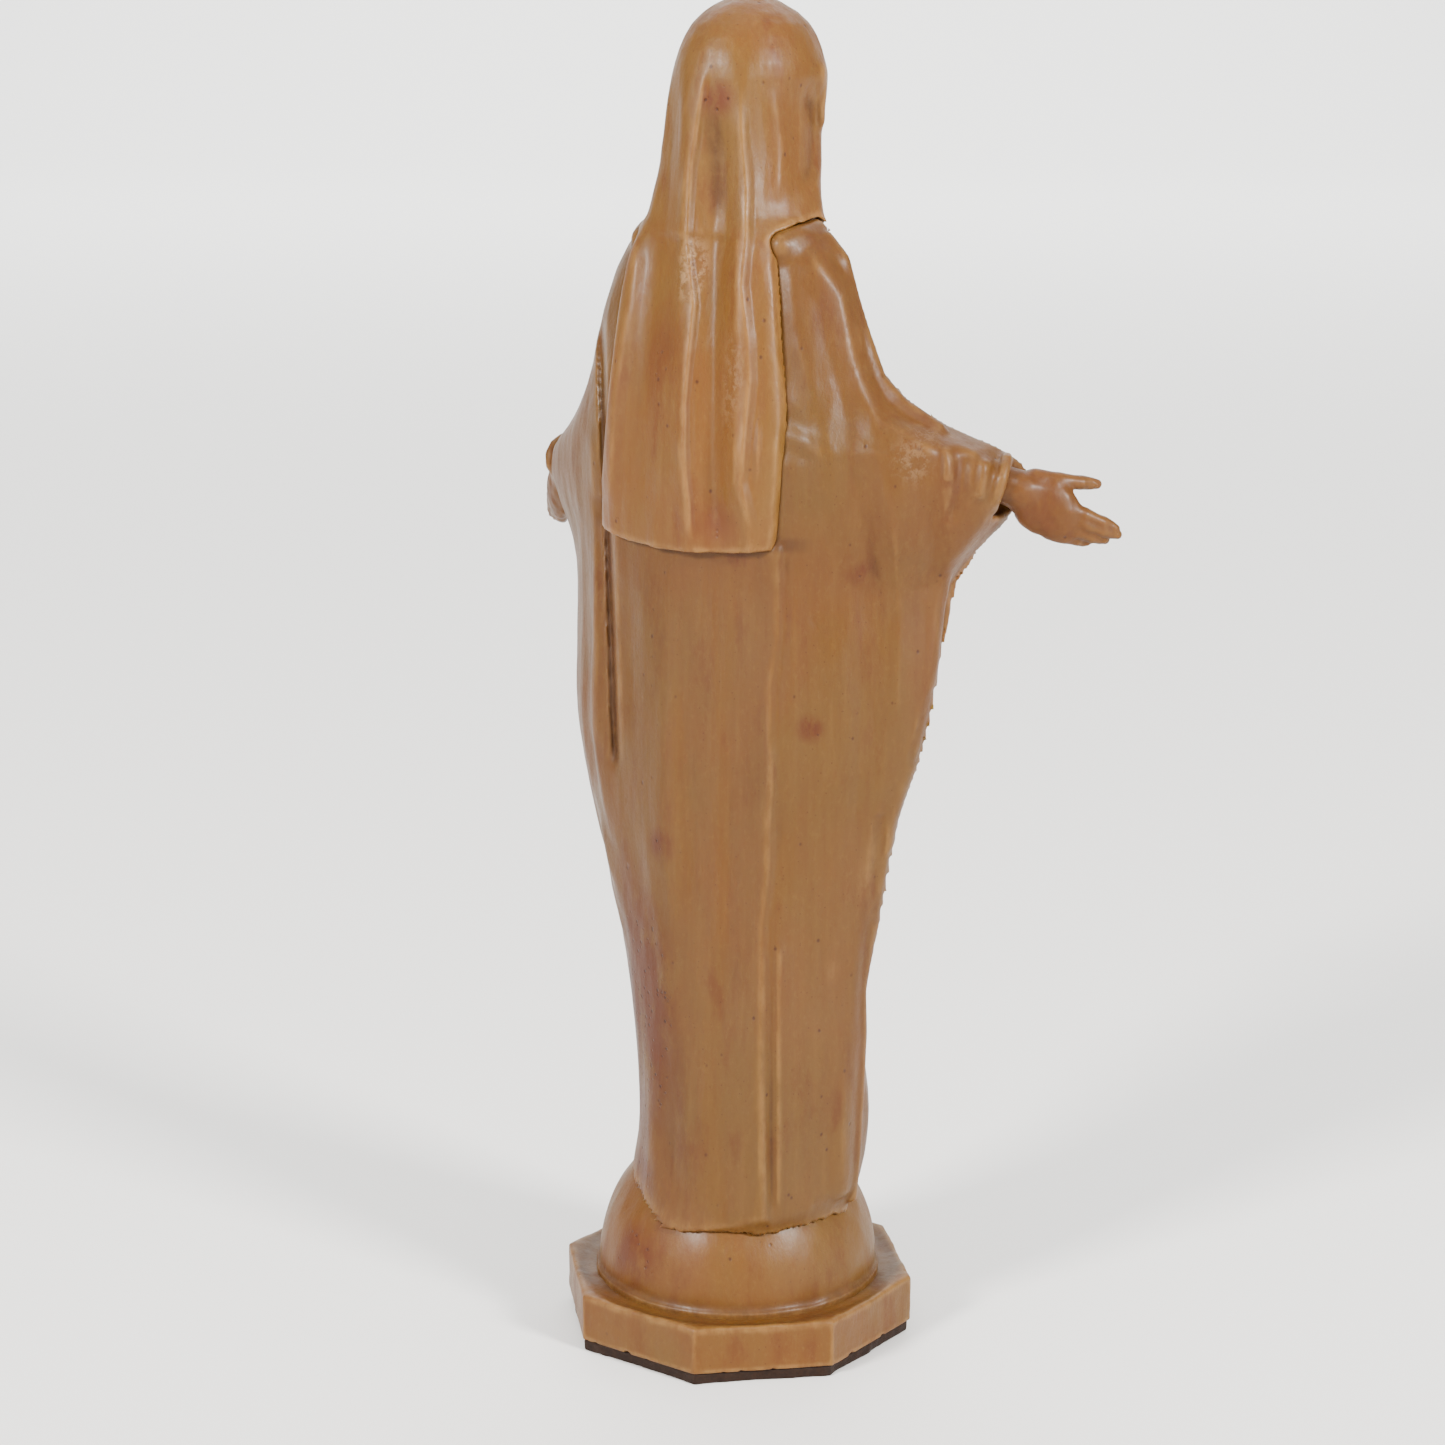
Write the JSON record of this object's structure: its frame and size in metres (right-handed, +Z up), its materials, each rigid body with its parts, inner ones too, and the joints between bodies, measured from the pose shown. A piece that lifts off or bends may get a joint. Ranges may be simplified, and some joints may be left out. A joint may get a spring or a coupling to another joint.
{
  "type": "madonna statue",
  "caption": "Standing veiled woman with lowered open arms on a half globe and an octagonal plinth, a free-standing devotional figure.",
  "frame": {"origin": "centre of the plinth, on the underside of the pad", "axes": "+Z up, the figure faces -Y, her right hand is at -X"},
  "size_m": [0.0886, 0.0428, 0.17],
  "materials": {
    "body_resin": "semi-gloss, worn",
    "head_resin": "semi-gloss, worn",
    "hand_resin": "semi-gloss, worn",
    "pedestal_resin": "semi-gloss, grimy",
    "pad_board": "matt",
    "steel": "plain",
    "brass": "plain",
    "beech": "bare"
  },
  "bodies": {
    "root": {"robed_body": "body_resin", "veiled_head": "head_resin", "right_hand": "hand_resin", "left_hand": "hand_resin", "globe": "pedestal_resin", "plinth": "pedestal_resin", "base_pad": "pad_board", "tie_bolt": "steel", "bolt_washer": "steel", "threaded_insert": "brass", "neck_dowel": "beech", "right_wrist_pin": "steel", "left_wrist_pin": "steel"}
  },
  "joints": []
}
